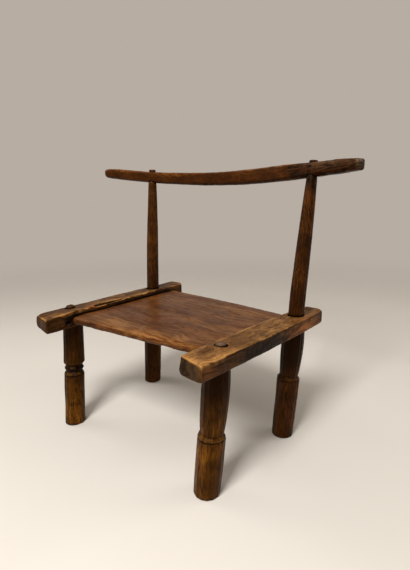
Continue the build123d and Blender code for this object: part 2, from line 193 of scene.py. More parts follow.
# %% [markdown]
# Long use has also rounded the arrises, here more and there less. Drawing each corner of the mesh
# towards its neighbours, over and over, takes most off where the surface bends most.

# %% Round the arrises
def wear_down(piece, rounds, size, seed, sharp=None):
    """Rubs a piece's arrises round, unevenly over about size mm, but not where sharp is 1."""
    places, edges = points_of(piece), edges_of(piece)
    count = np.bincount(edges.ravel(), minlength=len(places))[:, None]
    share = np.clip(0.6 + 0.4 * unevenness(places, (size, size, size), seed), 0.15, 1)[:, None]
    if sharp is not None:
        share *= 1 - sharp[:, None]
    for _ in range(rounds):
        sums = np.empty_like(places)
        for axis in range(3):
            sums[:, axis] = np.bincount(edges[:, 0], places[edges[:, 1], axis], len(places))
            sums[:, axis] += np.bincount(edges[:, 1], places[edges[:, 0], axis], len(places))
        places += share * (sums / count - places)
    move_points(piece, places)


# %% [markdown]
# ## Wear, grime and painted light
# A material needs to know where hands and cloth have rubbed, and where dirt has stayed. The first
# is worked out from how sharply the surface bends outwards. The second is where it bends inwards,
# or lies close to another piece. Single marks come on top: a rubbed, stained or freshly broken
# place has a centre, a size along each axis and a strength. Some rubbed marks also carry a painted
# highlight, and some stained marks are painted shade or a painted shadow. All are stored on the
# mesh as attributes for the materials.

# %% Measure wear and grime
NEIGHBOUR = 30  # mm, how far from a place another piece is looked for
RAGGED = 0.22  # how uneven the rim of a mark is
cad_trees = {}
for name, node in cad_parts.items():
    cad_trees[name] = BVHTree.FromObject(node, bpy.context.evaluated_depsgraph_get())


def soften(values, edges, rounds):
    """Averages each corner's value with its neighbours', several times over."""
    count = np.bincount(edges.ravel(), minlength=len(values))
    for _ in range(rounds):
        sums = np.bincount(edges[:, 0], values[edges[:, 1]], len(values))
        sums += np.bincount(edges[:, 1], values[edges[:, 0]], len(values))
        values = (values + sums / count) / 2
    return values


def outward_bend(places, normals, edges):
    """How sharply the surface bends at each corner, in 1/mm: above 0 on arrises, below in dips."""
    along = places[edges[:, 1]] - places[edges[:, 0]]
    turn = normals[edges[:, 1]] - normals[edges[:, 0]]
    bend = (turn * along).sum(1) / np.maximum((along**2).sum(1), 1e-6)
    sums = np.bincount(edges[:, 0], bend, len(places))
    sums += np.bincount(edges[:, 1], bend, len(places))
    return soften(sums / np.bincount(edges.ravel(), minlength=len(places)), edges, 4)


def distance_to_others(places, node):
    """Distance in mm from each place to the other pieces' solids, or 1000 where it is long."""
    nearest = np.full(len(places), 1000.0)
    for other, tree in cad_trees.items():
        if other != node:
            low, high = [np.array(corner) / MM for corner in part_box(other)]
            inside = (places > low - NEIGHBOUR) & (places < high + NEIGHBOUR)
            for index in np.flatnonzero(inside.all(1)):
                found = tree.find_nearest(Vector(places[index] * MM), NEIGHBOUR * MM)
                if found[3] is not None:
                    nearest[index] = min(nearest[index], found[3] / MM)
    return nearest


def spots(places, marks, seed):
    """Strength of soft, ragged spots. Each mark is its centre, its sizes in mm and its strength."""
    total = np.zeros(len(places))
    ragged = 1 + RAGGED * unevenness(places, (11, 11, 11), seed)
    for centre, sizes, strength in marks:
        far = np.linalg.norm((places - np.array(centre)) / np.array(sizes), axis=1) * ragged
        total += strength * np.exp(-(far**2))
    return total


def mark_wear(
    piece,
    node,
    rubbed_and_lit=(),
    stains_and_shade=(),
    raw=(),
    wear_radius=7.0,
    grime_reach=3.5,
    upright=0.25,
    cracked=0.0,
):
    """Stores worn (outward bends), grimy (inward bends and joints) and raw on a piece's mesh.

    An arris rounded to wear_radius in mm is fully worn where it faces up, and where it faces
    sideways it has the share upright of that. Grime reaches about grime_reach in mm from another
    piece, and the values in cracked are added to it. The rubbed marks, some of them painted
    highlights, go into the first value, and the stained marks, some of them painted shade, into
    the second.
    """
    places, normals, edges = points_of(piece), normals_of(piece), edges_of(piece)
    bends = outward_bend(places, normals, edges) * wear_radius
    facing_up = smooth_steps(normals[:, 2], 0.05, 0.5)
    arrises = np.clip(bends, 0, 1) * (upright + (1 - upright) * facing_up)
    joints = np.exp(-((distance_to_others(places, node) / grime_reach) ** 2))
    marks = {
        "worn_and_lit": arrises + spots(places, rubbed_and_lit, 31),
        "grime_and_shade": np.clip(-bends, 0, 1) + joints + spots(places, stains_and_shade, 32) + cracked,
        "raw": spots(places, raw, 33),
    }
    for name, values in marks.items():
        stored = piece.data.attributes.new(name, "FLOAT", "POINT")
        stored.data.foreach_set("value", np.clip(values, 0, 1).astype(np.float32))
    print(piece.name, {name: round(float(values.mean()), 3) for name, values in marks.items()})


# %% [markdown]
# ## Wood
# The whole chair is one kind of dense African hardwood, and each part has its own age on it. The
# legs are nearly black at their heads, from smoke and painted shade under the rails, the rails'
# tops are rubbed golden and painted lighter as if lit from above, and the seat is a warm red-brown.
# One function makes all the woods, because they differ only in colours, grain and gloss.
# The first helper turns a paint code into the light values that a shader works with.

# %% Colours and nodes
def linear(code):
    """A colour for a shader from an sRGB hex code."""
    parts = [int(code[i : i + 2], 16) / 255 for i in (1, 3, 5)]
    lights = [p / 12.92 if p <= 0.04045 else ((p + 0.055) / 1.055) ** 2.4 for p in parts]
    return (*lights, 1.0)


def per_metre(size):
    """The scale of a pattern whose marks are that size in mm."""
    return 1 / (size * MM)


def add(tree, kind, inputs=None, **settings):
    """Adds a node with its settings. Each input takes a value or the socket to link to it."""
    new = tree.nodes.new("ShaderNode" + kind)
    for name, value in settings.items():
        setattr(new, name, value)
    for name, value in (inputs or {}).items():
        if isinstance(value, bpy.types.NodeSocket):
            tree.links.new(value, new.inputs[name])
        else:
            new.inputs[name].default_value = value
    return new


# %% [markdown]
# Grain is noise that is squeezed across the fibres and stretched along them: broad bands, narrow
# streaks, and pores. Real pores are finer than the picture can show, so they are drawn 2 mm wide.
# A face that looks along the grain cuts across the fibres, so it is dull and has no streaks. A face
# that looks up is painted lighter, as if lit from above, and a side face darker, as if in shade, so
# each wood has two sets of tones.

# %% The wood material
FACTOR, COLOUR_A, COLOUR_B, MIXED = 0, 6, 7, 2  # sockets of a Mix node set to colours
ALONG_X, ALONG_Y, ALONG_Z = 0, 1, 2  # the axis that a piece's fibres follow
SQUEEZE = 0.06  # a pattern's width across the fibres over its length along them
SWAY = 0.05  # m, how far the fibres wander
SWAY_LIFT = 25  # mm, half of that, which is how far the wandering moves a place on average
WAX_TINT = "#ffc08c"  # old wax warms the light that it mirrors


def old_wood(
    name,
    grain,
    top,
    side,
    worn_and_lit_tone,
    grime_and_shade_tone,
    end,
    raw,
    gloss,
    shine,
    band=22.0,
    streak=6.0,
    figure=1.0,
    smoke_and_shade=None,
):
    """Aged hardwood with fibres along an axis. top and side are dark, middle and light tones.

    The tone after them is for worn places and painted highlights, the next for grime and painted
    shade, end for faces across the fibres, and raw for breaks. Faces that look up take the top
    tones, painted lighter as if lit from above, and side faces the side tones, painted darker as if
    in shade. gloss is the roughness and shine the strength of reflections. band and streak are the
    widths in mm of the two kinds of grain, and figure says how strongly the grain shows. The last
    argument is a tone and three heights in mm for the darker heads of the legs, smoke and painted
    shade under the rails: it begins, it is full, and it stops.
    """
    material = bpy.data.materials.new(name)
    material.use_nodes = True
    tree = material.node_tree
    tree.nodes.clear()

    def blend(share, first, second):
        """Mixes two colours by a share."""
        inputs = {FACTOR: share, COLOUR_A: first, COLOUR_B: second}
        return add(tree, "Mix", inputs, data_type="RGBA").outputs[MIXED]

    def spread(value, low, high, to_low=0.0, to_high=1.0):
        """Turns a range of values into another, with soft ends."""
        inputs = {"Value": value, "From Min": low, "From Max": high}
        inputs.update({"To Min": to_low, "To Max": to_high})
        return add(tree, "MapRange", inputs, interpolation_type="SMOOTHSTEP").outputs[0]

    def times(first, second):
        """Multiplies two values."""
        return add(tree, "Math", {0: first, 1: second}, operation="MULTIPLY").outputs[0]

    def noise(where, size, detail, roughness=0.5):
        """A random pattern with marks of a size in mm."""
        inputs = {"Vector": where, "Scale": per_metre(size)}
        inputs.update({"Detail": detail, "Roughness": roughness})
        return add(tree, "TexNoise", inputs).outputs["Fac"]

    def stored(attribute):
        """A value that is stored on the mesh."""
        return add(tree, "Attribute", attribute_name=attribute).outputs["Fac"]

    # Where a place is, along fibres that wander a little.
    coordinates = add(tree, "TexCoord")
    place = coordinates.outputs["Object"]
    facing = add(tree, "SeparateXYZ", {0: coordinates.outputs["Normal"]})
    wander = add(tree, "TexNoise", {"Vector": place, "Scale": per_metre(110), "Detail": 2.0})
    lean = {0: wander.outputs["Color"], 1: (SWAY, SWAY, SWAY), 2: place}
    bent = add(tree, "VectorMath", lean, operation="MULTIPLY_ADD").outputs[0]
    squeeze = tuple(SQUEEZE if axis == grain else 1.0 for axis in range(3))
    fibres = add(tree, "Mapping", {"Vector": bent, "Scale": squeeze}).outputs[0]

    # The patterns of the grain and of old stains.
    bands = noise(fibres, band, 3.0)
    streaks = noise(fibres, streak, 4.0, 0.6)
    pores = noise(fibres, 2.0, 1.0)
    patches = noise(place, 95, 3.0)
    blotches = noise(place, 34, 6.0, 0.72)

    # Sound wood: its tones, darkened by one pattern after the other, and its end grain.
    # Faces that look up take the top tones, painted lighter as if lit from above; side faces take
    # the side tones, painted darker as if in shade.
    lit_from_above = spread(facing.outputs["Z"], 0.45, 0.8)
    dark, middle, light = [blend(lit_from_above, linear(low), linear(high)) for low, high in zip(side, top)]
    colour = blend(spread(bands, 0.38, 0.62), middle, light)
    colour = blend(spread(patches, 0.42, 0.62, 0, 0.55 * figure), colour, dark)
    colour = blend(spread(blotches, 0.44, 0.64, 0, 0.6 * figure), colour, dark)
    colour = blend(spread(streaks, 0.47, 0.64, 0, 0.75 * figure), colour, dark)
    colour = blend(spread(pores, 0.54, 0.66, 0, 0.65 * figure), colour, dark)
    along = add(tree, "Math", {0: facing.outputs[grain]}, operation="ABSOLUTE").outputs[0]
    mottle = blend(spread(blotches, 0.38, 0.62), linear(end), dark)
    colour = blend(spread(along, 0.70, 0.92), colour, mottle)

    # Rubbed places and painted highlights are pale, but their streaks stay, except on the end
    # grain.
    uneven = times(spread(patches, 0.64, 0.40, 0.4, 1.2), spread(blotches, 0.3, 0.7, 0.55, 1.1))
    worn_and_lit_share = spread(times(stored("worn_and_lit"), uneven), 0.05, 0.95, 0, 0.9)
    kept_streaks = times(spread(streaks, 0.42, 0.6), spread(along, 0.2, 0.7, 1, 0))
    colour = blend(worn_and_lit_share, colour, blend(kept_streaks, linear(worn_and_lit_tone), middle))

    # The heads of the legs are darker, up to where a tenon comes out of its rail: smoke, and
    # painted shade under the rails.
    if smoke_and_shade:
        smoke_and_shade_tone, start, full, stop = smoke_and_shade
        swayed_height = add(tree, "SeparateXYZ", {0: bent}).outputs["Z"]
        height = add(tree, "SeparateXYZ", {0: place}).outputs["Z"]
        above = spread(swayed_height, (start + SWAY_LIFT) * MM, (full + SWAY_LIFT) * MM, 0, 0.9)
        below = spread(height, stop * MM, (stop + 4) * MM, 1, 0)
        colour = blend(times(above, below), colour, linear(smoke_and_shade_tone))

    # Breaks, and grime with painted shade, lie over everything else.
    broken = times(stored("raw"), spread(streaks, 0.62, 0.45, 0.45, 1.0))
    colour = blend(broken, colour, linear(raw))
    grime_and_shade_share = times(stored("grime_and_shade"), spread(blotches, 0.35, 0.6, 0.7, 1.3))
    colour = blend(spread(grime_and_shade_share, 0.08, 0.85, 0, 0.95), colour, linear(grime_and_shade_tone))

    rough = spread(streaks, 0.35, 0.7, gloss, gloss + 0.2)
    relief = add(tree, "Math", {0: pores, 1: -0.6, 2: streaks}, operation="MULTIPLY_ADD")
    bump = add(tree, "Bump", {"Height": relief.outputs[0], "Strength": 0.5, "Distance": 0.6 * MM})
    surface = {"Base Color": colour, "Roughness": rough, "Normal": bump.outputs[0]}
    surface["Specular IOR Level"] = shine
    shader = add(tree, "BsdfPrincipled", surface)
    shader.inputs["Specular Tint"].default_value = linear(WAX_TINT)
    add(tree, "OutputMaterial", {"Surface": shader.outputs[0]})
    print("material", name, len(tree.nodes), "nodes")
    return material


# %% [markdown]
# Each finish is one call of that function. Its tones are sRGB codes, and top and side go from dark
# to light.

# %% The finishes
seat_wood = old_wood(
    "seat_waxed_hardwood",
    ALONG_X,
    top=("#3c1c08", "#5c3311", "#71461d"),
    side=("#200e05", "#42220f", "#5a3417"),
    worn_and_lit_tone="#85582c",
    grime_and_shade_tone="#1a0b05",
    end="#3f2816",
    raw="#8a5a34",
    gloss=0.30,
    shine=0.16,
    band=40.0,
    streak=8.0,
    figure=0.75,
)
right_rail_wood = old_wood(
    "rail_worn_hardwood",
    ALONG_Y,
    top=("#45290f", "#7e552c", "#9a6d3c"),
    side=("#150a03", "#38200b", "#523415"),
    worn_and_lit_tone="#ab7a42",
    grime_and_shade_tone="#0c0502",
    end="#3a2815",
    raw="#a0602c",
    gloss=0.42,
    shine=0.12,
    figure=1.15,
)
left_rail_wood = old_wood(
    "left_rail_worn_hardwood",
    ALONG_Y,
    top=("#361d0a", "#634121", "#7c5630"),
    side=("#180c04", "#3a1f0a", "#503013"),
    worn_and_lit_tone="#ab7a42",
    grime_and_shade_tone="#0c0502",
    end="#3e2611",
    raw="#8c4a24",
    gloss=0.42,
    shine=0.12,
    figure=1.15,
)
leg_wood = old_wood(
    "leg_dark_hardwood",
    ALONG_Z,
    top=("#3a220c", "#5c3d18", "#75522a"),
    side=("#221003", "#5a3508", "#784a16"),
    worn_and_lit_tone="#7c5420",
    grime_and_shade_tone="#0c0502",
    end="#4a3420",
    raw="#705440",
    gloss=0.36,
    shine=0.08,
    band=16.0,
    streak=4.0,
    smoke_and_shade=("#180902", 112, 235, 331),
)
post_wood = old_wood(
    "post_dark_hardwood",
    ALONG_Z,
    top=("#3a220c", "#5c3d18", "#75522a"),
    side=("#1b0a02", "#3d1f08", "#4e2c0d"),
    worn_and_lit_tone="#62391a",
    grime_and_shade_tone="#0c0502",
    end="#4f3a24",
    raw="#8a6a48",
    gloss=0.34,
    shine=0.12,
    band=14.0,
    streak=4.0,
    figure=1.15,
    smoke_and_shade=("#0e0401", 130, 225, 327),
)
crest_wood = old_wood(
    "crest_waxed_hardwood",
    ALONG_X,
    top=("#2a1408", "#432109", "#5a3615"),
    side=("#1a0a02", "#371a05", "#452309"),
    worn_and_lit_tone="#6c4018",
    grime_and_shade_tone="#100602",
    end="#42301f",
    raw="#6a5640",
    gloss=0.28,
    shine=0.16,
    band=18.0,
    streak=4.5,
    figure=0.72,
)

# %% [markdown]
# ## Dressing a piece
# Each finished piece stands for its CAD node, moves with the chair's one body and takes its finish.
# The tool marks may not lift it above its node.

# %% Hand a piece over
def dress(piece, node, material):
    """Keeps a piece within its node's height and gives it its material and its place."""
    places = points_of(piece)
    bottom, top = [corner[2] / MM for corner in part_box(node)]
    places[:, 2] = np.clip(places[:, 2], bottom, top)
    move_points(piece, places)
    piece.data.materials.append(material)
    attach(piece, "root")
    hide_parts(node)


# %% [markdown]
# ## Legs
# Each leg was cut round by eye. The knife left upright strips all round it, and the section is
# never a true circle. The strips are worked out in polar coordinates round the leg's own leaning
# line. Below the drum's shoulder runs an incised line, and a front leg's tenon is worn to a dome.

# %% Shape a leg
legs = {
    # node: foot x, foot y, lean out (degrees, to +x), lean back, height of the drum's shoulder
    "front_left_leg": (-235.6, -195.4, -1.3, 4.7, 145.0),
    "front_right_leg": (241.4, -183.7, 2.1, 5.7, 134.0),
    "rear_left_post": (-255.0, 126.6, -0.1, 3.2, 150.0),
    "rear_right_post": (259.4, 113.8, 2.1, 5.7, 160.0),
}
tenons = {
    # node: how far its tenon stands above the rail, its middle's x and y, how far its rim is worn
    "front_left_leg": (7.5, -248.4, -171.3, 3.5),
    "front_right_leg": (2.5, 253.3, -145.8, 0.8),
}
TENON_RADIUS = 12.5
LINE_BELOW = 2.6  # from a drum's shoulder down to its incised line


def rail_top(y):
    """Height of the rails' tops at a place along them, in mm."""
    return 327.9 - 0.01396 * y


def polar(places, foot_x, foot_y, lean_out, lean_back):
    """Angle round a leaning line, distance from it, and the outward direction, of each place."""
    centre_x = foot_x + places[:, 2] * math.tan(math.radians(lean_out))
    centre_y = foot_y + places[:, 2] * math.tan(math.radians(lean_back))
    offset = np.stack([places[:, 0] - centre_x, places[:, 1] - centre_y], 1)
    radius = np.linalg.norm(offset, axis=1)
    outward = np.zeros_like(places)
    outward[:, :2] = offset / np.maximum(radius, 0.1)[:, None]
    return np.arctan2(offset[:, 1], offset[:, 0]), radius, outward


def knife_strips(angle, height, strips, depth, seed):
    """Flat strokes round a leg: 0 on the ridges between them, -depth in the middle of each."""
    random = np.random.default_rng(seed)
    spacing = 2 * math.pi / strips
    edges = np.sort((np.arange(strips) + random.uniform(-0.28, 0.28, strips)) * spacing)
    wander = 0.05 * np.sin(height / 37 + random.uniform(0, 6))
    wander += 0.03 * np.sin(height / 13 + random.uniform(0, 6))
    turned = np.mod(angle + wander, 2 * math.pi)
    after = np.searchsorted(edges, turned) % strips
    upper = edges[after] + np.where(edges[after] < turned, 2 * math.pi, 0)
    lower = edges[after - 1] - np.where(edges[after - 1] > turned, 2 * math.pi, 0)
    share = (turned - lower) / (upper - lower)
    return -depth * 4 * share * (1 - share)


def shape_leg(node, seed, spacing, stains_and_shade=(), raw=()):
    """A leg with knife strips, uneven faces and an incised line below its drum's shoulder."""
    piece = even_copy(node, spacing)
    wear_down(piece, 2, 40, seed + 4)
    places, normals = points_of(piece), normals_of(piece)
    *line, shoulder = legs[node]
    angle, radius, outward = polar(places, *line)
    side = smooth_steps(np.abs((normals * outward).sum(1)), 0.35, 0.8)
    height = places[:, 2]
    cut = knife_strips(angle, height, 13, 1.0, seed)
    cut += knife_strips(angle, height, 31, 0.2, seed + 1)
    cut += 0.5 * unevenness(places, (30, 30, 90), seed + 2) + 0.6
    cut += 0.35 * unevenness(places, (14, 14, 40), seed + 3)
    cut += line_cut(height - (shoulder - LINE_BELOW), 2.4, 1.1)
    slim = smooth_steps(radius, 9, 20)
    moved = places + outward * (cut * side * slim)[:, None]
    moved[:, 2] = np.maximum(moved[:, 2], 0)
    if node in tenons:
        proud, tenon_x, tenon_y, dome = tenons[node]
        above = np.clip((height - rail_top(tenon_y)) / proud, 0, 1)
        far = np.linalg.norm(places[:, :2] - (tenon_x, tenon_y), axis=1) / TENON_RADIUS
        rough = 0.5 + 0.5 * unevenness(places, (9, 9, 9), seed + 6)
        moved[:, 2] -= above * (dome * far**2 + rough)
    move_points(piece, moved)
    foot = ((line[0], line[1], 0), (60, 60, 7), 0.75)
    groove = ((line[0], line[1], shoulder - LINE_BELOW), (90, 90, 1.6), 0.8)
    stain_and_shade_marks = (foot, groove) + stains_and_shade
    mark_wear(
        piece, node, stains_and_shade=stain_and_shade_marks, raw=raw, wear_radius=4.5, grime_reach=2.2, upright=1.0
    )
    return piece


# %% [markdown]
# The front left leg is dark round its rings and a little dull on its tenon, and lower down it is
# painted a little darker as shade. The front right leg's tenon is pale bare wood. The rear right
# post is painted darker as shade in its upper half, with a painted shadow just below the crest
# rail.

# %% The legs
dark_ring = ((-239, -182, 161), (70, 70, 10), 0.85)
# Painted shade on the front left leg's drum.
shaded_drum = ((-239, -184, 70), (90, 90, 90), 0.32)
dark_tenon = ((-248, -171, 338), (20, 20, 6), 0.45)
pale_tenon = ((253, -148, 334), (13, 13, 4.5), 1.2)
# Painted shade on the rear right post's upper half.
shaded_post = ((284, 160, 470), (50, 60, 190), 0.3)
# Painted shadow at the rear right post's top, just below the crest rail.
shadow_below_crest = ((283, 179, 668), (30, 30, 30), 0.7)
for number, (node, slot_name, material, spacing, stains_and_shade, raw) in enumerate(
    (
        # node, slot, finish, spacing in mm, stained and painted-shade places, raw places
        ("front_left_leg", "leg_wood", leg_wood, 1.1, (dark_ring, shaded_drum, dark_tenon), ()),
        ("front_right_leg", "leg_wood", leg_wood, 1.1, (), (pale_tenon,)),
        ("rear_left_post", "post_wood", post_wood, 1.35, (), ()),
        ("rear_right_post", "post_wood", post_wood, 1.35, (shaded_post, shadow_below_crest), ()),
    )
):
    dress(shape_leg(node, 10 * number + 5, spacing, stains_and_shade, raw), node, material)

# %% [markdown]
# ## Rails, seat and crest
# These were split from a log and hewn to shape, so their faces carry the shallow bites of the adze.

# %% Shape a hewn piece
MOST_KEPT = 0.88  # the most of an arris's sharpness that wear leaves


def hewn(
    node,
    spacing,
    bite,
    bite_depth,
    sway,
    sway_depth,
    seed,
    blades=(),
    sharp=None,
    rounds=24,
):
    """A hewn piece: rounded arrises, soft unevenness and adze bites.

    bite and sway are the sizes in mm of the bites and of the unevenness, each with its depth. sharp
    is a mark round which the arrises stay, and rounds says how far the others are worn down.
    """
    piece = even_copy(node, spacing, blades)
    kept = None
    if sharp is not None:
        kept = np.clip(spots(points_of(piece), (sharp,), seed), 0, MOST_KEPT)
    wear_down(piece, rounds, 35, seed + 3, kept)
    places, normals = points_of(piece), normals_of(piece)
    cut = sway_depth * (unevenness(places, sway, seed) - 0.7)
    cut -= bite_depth * (1 - scoops(places, bite, seed + 1))
    cut += 0.22 * unevenness(places, (9, 9, 9), seed + 2)
    move_points(piece, places + normals * cut[:, None])
    return piece


# %% [markdown]
# A long splinter has broken out of the left rail's inner arris. One blade takes down the arris
# there, deepest at the front, where the wood snapped. Two more open the slit behind it, wide in its
# middle and closed at both ends. Another makes the small mouth of the seat's groove, and the last
# takes the outer front corner off the rail's top.

# %% The left rail
def strip(x_near, x_far, y_near, y_far, deep_near, deep_far, above=4.0):
    """A blade along the left rail: a pair of x for each end, and its depth below the rail's top."""
    corners = []
    for (outer, inner), y, deep in ((x_near, y_near, deep_near), (x_far, y_far, deep_far)):
        for x in (outer, inner):
            corners += [(x, y, rail_top(y) + above), (x, y, rail_top(y) - deep)]
    return blade(corners)


splinter = strip((-218.0, -201.0), (-218.0, -208.0), -117, -8, 4.8, 1.6)
slit_near = strip((-220.8, -218.2), (-225.4, -217.0), -121, -72, 7.0, 10.0)
slit_far = strip((-225.4, -217.0), (-220.6, -218.2), -72, -10, 10.0, 3.5)
mouth = blade([(x, y, z) for x in (-212, -194) for y in (-214, -197) for z in (298, 307.5)])
front_corner = blade([(-248, -266, 331), (-262, -252, 331), (-262, -265, 316), (-276, -279, 341)])
left_rail = hewn(
    "left_rail",
    spacing=1.35,
    bite=(22, 48, 22),
    bite_depth=0.55,
    sway=(50, 90, 50),
    sway_depth=0.6,
    seed=70,
    blades=(splinter, slit_near, slit_far, mouth, front_corner),
    sharp=((-214, -66, 322), (16, 62, 14), 3.0),
)
mark_wear(
    left_rail,
    "left_rail",
    rubbed_and_lit=(
        ((-224, -222, 325), (16, 34, 10), 0.5),
        ((-205, -195, 327), (5, 75, 5), 1.0),
        ((-228, -20, 328), (8, 80, 7), 0.6),
        ((-224, 90, 327), (9, 60, 7), 0.4),
    ),
    stains_and_shade=(
        # The first five are painted shade: in the slit, below the inner ridge and in the groove's
        # mouth.
        ((-220.4, -95, 318), (3.4, 26, 9), 1.3),
        ((-220.4, -58, 319), (3.6, 28, 9), 1.2),
        ((-219.4, -22, 323), (2.4, 18, 5), 1.0),
        ((-202, -180, 316), (5, 75, 6), 0.7),
        ((-200, -208, 302), (16, 14, 12), 0.9),
        ((-220, -262, 300), (10, 8, 9), 0.5),
        ((-262, 235, 318), (30, 25, 20), 0.4),
    ),
    raw=(
        ((-216, -123, 327), (7, 8, 6), 1.2),
        ((-211, -85, 325), (6, 32, 5), 0.25),
    ),
)
dress(left_rail, "left_rail", left_rail_wood)

# %% [markdown]
# The right rail's tenon hole is a little too wide, which leaves a dark gap behind the tenon.
# Something has rubbed a row of short scuffs across its outer top arris, near the front. Its
# underside bulges a little there.

# %% The right rail
HOLE_X, HOLE_Y, HOLE_RADIUS = 256.2, -146.2, 13.4
ARRIS_X, ARRIS_Z, FIRST_SCUFF, LAST_SCUFF = 289, 328, -243, -142
SCUFF_REACH, SCUFF_SKEW, ARRIS_DRIFT = 7, 0.5, 0.03
angles = np.linspace(0, 6.2, 24)
ring = [(HOLE_X + HOLE_RADIUS * math.cos(a), HOLE_Y + HOLE_RADIUS * math.sin(a)) for a in angles]
wide_hole = blade([(x, y, z) for x, y in ring for z in (319, 336)])
right_rail = hewn(
    "right_rail",
    spacing=1.4,
    bite=(24, 50, 24),
    bite_depth=0.55,
    sway=(50, 90, 50),
    sway_depth=0.5,
    seed=80,
    blades=(wide_hole,),
    sharp=((255, -147, 326), (18, 18, 14), 3.0),
    rounds=15,
)
places, normals = points_of(right_rail), normals_of(right_rail)
scuff = np.zeros(len(places))
for number, y in enumerate(np.linspace(FIRST_SCUFF, LAST_SCUFF, 14)):
    beside = (places[:, 0] - ARRIS_X + ARRIS_DRIFT * (y - FIRST_SCUFF)) / SCUFF_REACH
    near = np.exp(-(beside**2) - ((places[:, 2] - ARRIS_Z) / SCUFF_REACH) ** 2)
    skew = SCUFF_SKEW * (places[:, 0] - ARRIS_X) * (-1) ** number
    scuff += near * line_cut(places[:, 1] - y - skew, 3.0, 0.9)
belly = 2.8 * np.exp(-(((places - (262, -215, 294)) / (32, 60, 9)) ** 2).sum(1))
places[:, 2] -= belly
move_points(right_rail, places + normals * scuff[:, None])
mark_wear(
    right_rail,
    "right_rail",
    rubbed_and_lit=(
        ((262, -242, 331), (34, 14, 4), 0.75),
        ((289, -205, 327), (8, 60, 7), 0.75),
        ((237, -70, 328), (6, 110, 7), 0.5),
        ((264, -88, 328), (17, 55, 8), 0.5),
        ((262, 40, 327), (22, 60, 8), 0.3),
    ),
    stains_and_shade=(
        ((252, -206, 329), (15, 24, 6), 0.28),
        ((302, -50, 306), (16, 62, 18), 1.35),
        ((276, -150, 300), (18, 50, 8), 0.5),
        ((268, 168, 326), (30, 30, 8), 0.15),
        ((266, 238, 318), (40, 18, 20), 0.35),
    ),
    raw=(
        ((302, 130, 303), (16, 75, 18), 0.85),
        ((292, -235, 312), (8, 22, 14), 0.3),
    ),
    wear_radius=4.5,
    grime_reach=2.0,
)
dress(right_rail, "right_rail", right_rail_wood)

# %% [markdown]
# People have polished the seat most in front, where it is pale, with a painted highlight along
# its front, and its arris is round. Under the front edge it is painted in shade. Further back it
# stays a dark red-brown, and its arris is sharper.

# %% The seat
back_part = ((0, 130, 304), (900, 235, 900), 3.0)
seat = hewn(
    "seat_plank",
    spacing=2.2,
    bite=(70, 30, 30),
    bite_depth=0.35,
    sway=(120, 60, 60),
    sway_depth=0.45,
    seed=90,
    sharp=back_part,
    rounds=34,
)
mark_wear(
    seat,
    "seat_plank",
    rubbed_and_lit=(
        # The front marks are rubbed places that also paint a highlight along the front.
        ((30, -150, 316), (120, 34, 16), 0.7),
        ((-120, -155, 316), (70, 26, 16), 0.45),
        ((150, -140, 316), (60, 26, 16), 0.4),
        ((-160, -95, 315), (34, 40, 12), 0.35),
        ((70, 120, 311), (190, 40, 12), 0.4),
    ),
    stains_and_shade=(
        ((140, -10, 314), (90, 90, 14), 0.25),
        # Painted shade under the front edge.
        ((0, -178, 292), (260, 30, 7), 0.6),
    ),
    grime_reach=7.0,
)
dress(seat, "seat_plank", seat_wood)

# %% [markdown]
# The crest rail's left end is rounded off like a knob. A quarter of an ellipse says how much of its
# section is left at each distance from the end. The right arm has weathered, and fine drying cracks
# run along it: narrow valleys where a stretched random pattern passes through zero.

# %% The crest rail
KNOB = 13  # mm, the length of the rounded end
crest = hewn(
    "crest_rail",
    spacing=1.5,
    bite=(46, 18, 18),
    bite_depth=0.45,
    sway=(90, 40, 40),
    sway_depth=0.4,
    seed=100,
    rounds=12,
)
places, normals = points_of(crest), normals_of(crest)
weathered = smooth_steps(places[:, 0], 130, 240)
level_places = places - places[:, :1] * (0, 0, 0.1)  # the arm rises by a tenth
pattern = unevenness(level_places, (60, 24, 4.2), 104)
cracks = weathered * np.exp(-((pattern / 0.24) ** 2))
knob_end, knob_inward = np.array((-414.3, 103.9, 701.5)), np.array((0.931, 0.364, -0.05))
inward = (places - knob_end) @ knob_inward
middle = knob_end + inward[:, None] * knob_inward
left = 0.45 + 0.55 * np.sqrt(1 - (1 - np.clip(inward / KNOB, 0, 1)) ** 2)
rounded = middle + (places - middle) * np.where(places[:, 0] < -300, left, 1)[:, None]
move_points(crest, rounded - normals * 0.6 * cracks[:, None])
mark_wear(
    crest,
    "crest_rail",
    rubbed_and_lit=(
        # Rubbed places along the top, painted lighter as a highlight too.
        ((-150, 190, 692), (110, 60, 8), 0.7),
        ((90, 190, 688), (120, 60, 9), 0.4),
        ((-330, 140, 708), (60, 50, 8), 0.6),
        ((330, 160, 706), (70, 60, 7), 0.6),
    ),
    stains_and_shade=(
        # Painted shade along the right arm's lower edge.
        ((290, 190, 672), (110, 60, 8), 0.45),
        ((399, 132, 690), (5, 20, 12), 0.6),
        # Painted shade along the underside.
        ((0, 200, 655), (300, 60, 6), 0.4),
        ((-370, 130, 690), (50, 40, 16), 0.3),
    ),
    raw=(
        ((410, 124, 692), (8, 14, 9), 1.0),
        ((330, 170, 695), (60, 40, 9), 0.3),
        ((-409, 98, 706), (10, 12, 8), 0.35),
    ),
    grime_reach=2.2,
    cracked=0.75 * cracks,
)
dress(crest, "crest_rail", crest_wood)

# %% [markdown]
# ## Floor, light and camera
# The floor is plain and pale, and curves up to a wall far behind, so that it has no horizon line.

